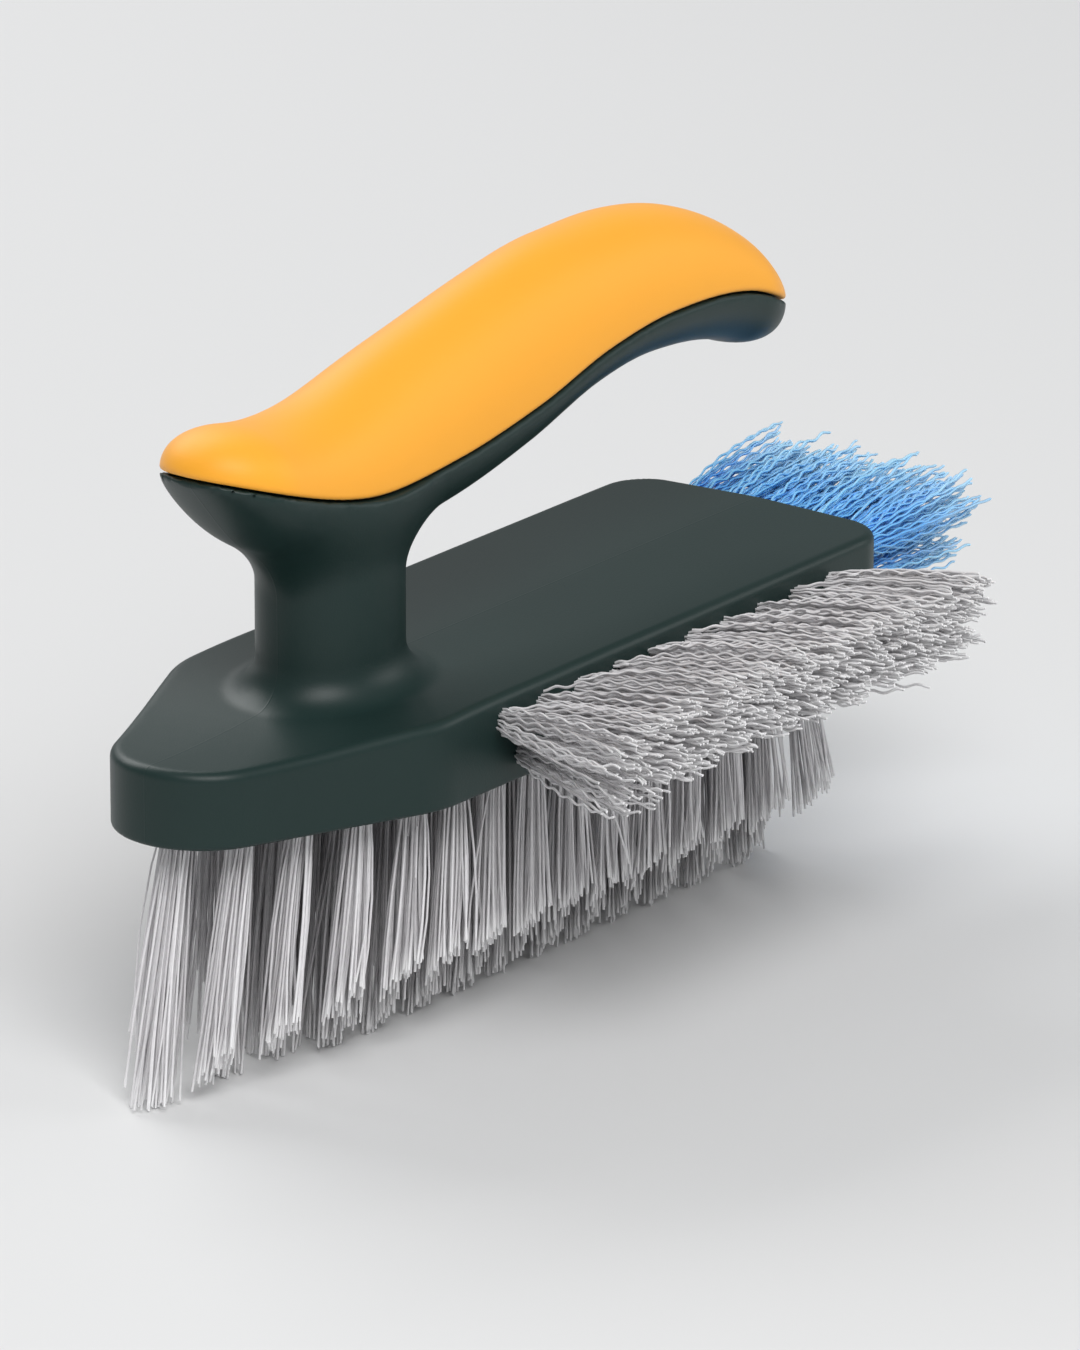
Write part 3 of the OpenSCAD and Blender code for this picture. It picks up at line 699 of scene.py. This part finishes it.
def crimpedBristles(name, kind, row, mouths):
    rng = np.random.default_rng(row["seed"])
    shape = {label: [] for label in attributeNames}
    out, across, up = np.array(kind["out"]), np.array(kind["across"]), np.array([0.0, 0.0, 1.0])
    n = kind["perTuft"]
    alongFlare, uprightFlare, looseFlare = row["flare"]
    for mouth, (fan, droop) in zip(mouths, row["spread"]):
        disc = discPoints(rng, n)
        root = np.array(mouth) - out * crimpLook["rootDepth"]
        root = root + (disc[:, :1] * across + disc[:, 1:] * up) * crimpLook["rootR"]
        short = np.abs(rng.normal(0, crimpLook["endShake"], n))
        far = (crimpLook["reach"] + crimpLook["rootDepth"] - short)[:, None]
        outerSide = 0.5 + 0.5 * disc[:, :1] * np.sign(fan) + rng.normal(0, crimpLook["fanShake"], (n, 1))
        outerSide = np.clip(outerSide, 0, 1)
        rise = far * math.tan(math.radians(row["tilt"])) - droop * outerSide
        loose = rng.normal(0, 1, (n, 3)) * (1 - np.abs(out))
        opened = disc[:, :1] * across * alongFlare + disc[:, 1:] * up * uprightFlare
        shape["root"].append(root)
        shape["reach"].append(out * far + up * rise + across * fan * outerSide ** crimpLook["fanPower"])
        shape["flare"].append(opened + loose * looseFlare)
        shape["bow"].append(rng.normal(0, crimpLook["bow"], (n, 3)) * (1 - np.abs(out)))
        turn = rng.normal(0, crimpLook["turn"], (n, 1))
        swing = (up * np.cos(turn) + across * np.sin(turn)) * rng.uniform(*crimpLook["swing"], (n, 1))
        shape["swing"].append(swing)
        shape["phase"].append(rng.uniform(0, fullTurn) + rng.normal(0, crimpLook["phaseShake"], n))
        shape["tone"].append(np.clip(rng.normal(crimpLook["tone"], crimpLook["toneShake"], n), 0, 1))
    growStrands(name, shape, kind["tree"], kind["material"], name)


halfL, halfW = block["length"] / 2, block["width"] / 2
lowZ, highZ = tufts["lowRow"], tufts["lowRow"] + tufts["rowRise"]


def sideMouths(z, shift):
    starts = [tufts["sideStart"] + i * tufts["sidePitch"] - halfL for i in range(tufts["sideCount"])]
    return [(x + shift, -halfW, z) for x in starts]


def rearMouths(z, count):
    return [(halfL, (i - (count - 1) / 2) * tufts["rearPitch"], z) for i in range(count)]


# In a row's spread, each tuft has how far its outer side fans along the block and how far it droops
sideUpper = {"seed": 21, "tilt": 7.0, "flare": (2.2, 2.2, 0.9),
             "spread": [(-14.0, 4.0), (-4.0, 0.0)] + [(1.0, 0.0)] * (tufts["sideCount"] - 2)}
sideLower = {"seed": 22, "tilt": 7.5, "flare": (2.2, 1.8, 0.9),
             "spread": [(-21.0, 5.0), (-7.0, 2.0)] + [(1.0, 0.0)] * (tufts["sideCount"] - 3)}
rearUpper = {"seed": 31, "tilt": 5.5, "flare": (2.4, 3.0, 1.2),
             "spread": [(-5.0, 0.0), (-2.0, 0.0), (-1.0, 0.0), (-2.0, 0.0), (-6.0, 0.0)]}
rearLower = {"seed": 32, "tilt": 4.5, "flare": (2.4, 2.6, 1.2),
             "spread": [(-6.0, 3.0), (-2.0, 0.0), (1.0, 0.0), (-1.0, 0.0)]}

bottomBristles()
crimpedBristles("side_tuft_upper", sideTufts, sideUpper, sideMouths(highZ, 0.0))
crimpedBristles("side_tuft_lower", sideTufts, sideLower, sideMouths(lowZ, tufts["sidePitch"] / 2))
crimpedBristles("rear_tuft_upper", rearTufts, rearUpper, rearMouths(highZ, len(rearUpper["spread"])))
crimpedBristles("rear_tuft_lower", rearTufts, rearLower, rearMouths(lowZ, len(rearLower["spread"])))

for name in ("bottom_anchors", "side_anchors", "rear_anchors"):
    anchor = frame["nodes"][name]
    anchor.data.materials.clear()
    anchor.data.materials.append(wireAnchor)
print("bristles grown")

# Camera, floor and light
view = {"azimuth": -52.9, "elevation": 18.23, "distance": 1.770, "lens": 235.57, "sensor": 36.0,
        "shiftX": 0.05463, "shiftY": 0.02833, "clip": (0.05, 50.0)}


def makeCamera():
    data = bpy.data.cameras.new("camera")
    data.lens, data.sensor_width = view["lens"], view["sensor"]
    data.shift_x, data.shift_y = view["shiftX"], view["shiftY"]
    data.clip_start, data.clip_end = view["clip"]
    camera = bpy.data.objects.new("camera", data)
    bpy.context.scene.collection.objects.link(camera)
    a, e = math.radians(view["azimuth"]), math.radians(view["elevation"])
    back = Vector((math.sin(a) * math.cos(e), -math.cos(a) * math.cos(e), math.sin(e)))
    camera.location = Vector(toFrame((0, 0, 0))) + back * view["distance"]
    camera.rotation_euler = back.to_track_quat("Z", "Y").to_euler()
    bpy.context.scene.camera = camera


lights = {"key": {"where": (-0.9, -1.0, 1.6), "size": (1.2, 1.2), "power": 31.0},
          "fill": {"where": (1.4, -1.4, 0.9), "size": (1.4, 1.0), "power": 9.0},
          "rim": {"where": (0.4, 1.5, 1.3), "size": (1.6, 0.9), "power": 20.0}}
lightAim = Vector((0.0, 0.0, 0.07))


def areaLight(name, look):
    data = bpy.data.lights.new(name, "AREA")
    data.shape = "RECTANGLE"
    data.size, data.size_y = look["size"]
    data.energy = look["power"]
    lamp = bpy.data.objects.new(name, data)
    bpy.context.scene.collection.objects.link(lamp)
    lamp.location = look["where"]
    lamp.rotation_euler = (lamp.location - lightAim).to_track_quat("Z", "Y").to_euler()


studio = {"world": (0.80, 0.82, 0.84, 1), "worldLevel": 0.34, "backdrop": (0.80, 0.80, 0.80, 1),
          "floor": (0.72, 0.72, 0.72, 1), "floorHalf": 6.0}


def makeWorld():
    world = bpy.data.worlds.new("studio")
    bpy.context.scene.world = world
    world.use_nodes = True
    tree = world.node_tree
    tree.nodes.clear()
    fromCamera = addNode(tree, "ShaderNodeLightPath", output="Is Camera Ray")
    through = addNode(tree, "ShaderNodeLightPath", output="Is Transmission Ray")
    seen = maths(tree, "MAXIMUM", fromCamera, through)
    lit = addNode(tree, "ShaderNodeBackground", {},
                  {"Color": studio["world"], "Strength": studio["worldLevel"]})
    shown = addNode(tree, "ShaderNodeBackground", {}, {"Color": studio["backdrop"], "Strength": 1.0})
    mix = addNode(tree, "ShaderNodeMixShader", {}, {0: seen, 1: lit, 2: shown})
    out = tree.nodes.new("ShaderNodeOutputWorld")
    tree.links.new(mix.socket, out.inputs["Surface"])


def makeFloor():
    finish = {"Base Color": studio["floor"], "Roughness": 0.9, "Specular IOR Level": 0.1}
    material = newMaterial("paleFloor", finish)[0]
    half = studio["floorHalf"]
    mesh = bpy.data.meshes.new("floor")
    corners = [(-half, -half, 0), (half, -half, 0), (half, half, 0), (-half, half, 0)]
    mesh.from_pydata(corners, [], [(0, 1, 2, 3)])
    mesh.materials.append(material)
    floor = bpy.data.objects.new("floor", mesh)
    bpy.context.scene.collection.objects.link(floor)


makeCamera()
makeWorld()
makeFloor()
for name, look in lights.items():
    areaLight(name, look)

bpy.context.scene.view_settings.view_transform = "Standard"

print("scene ready")
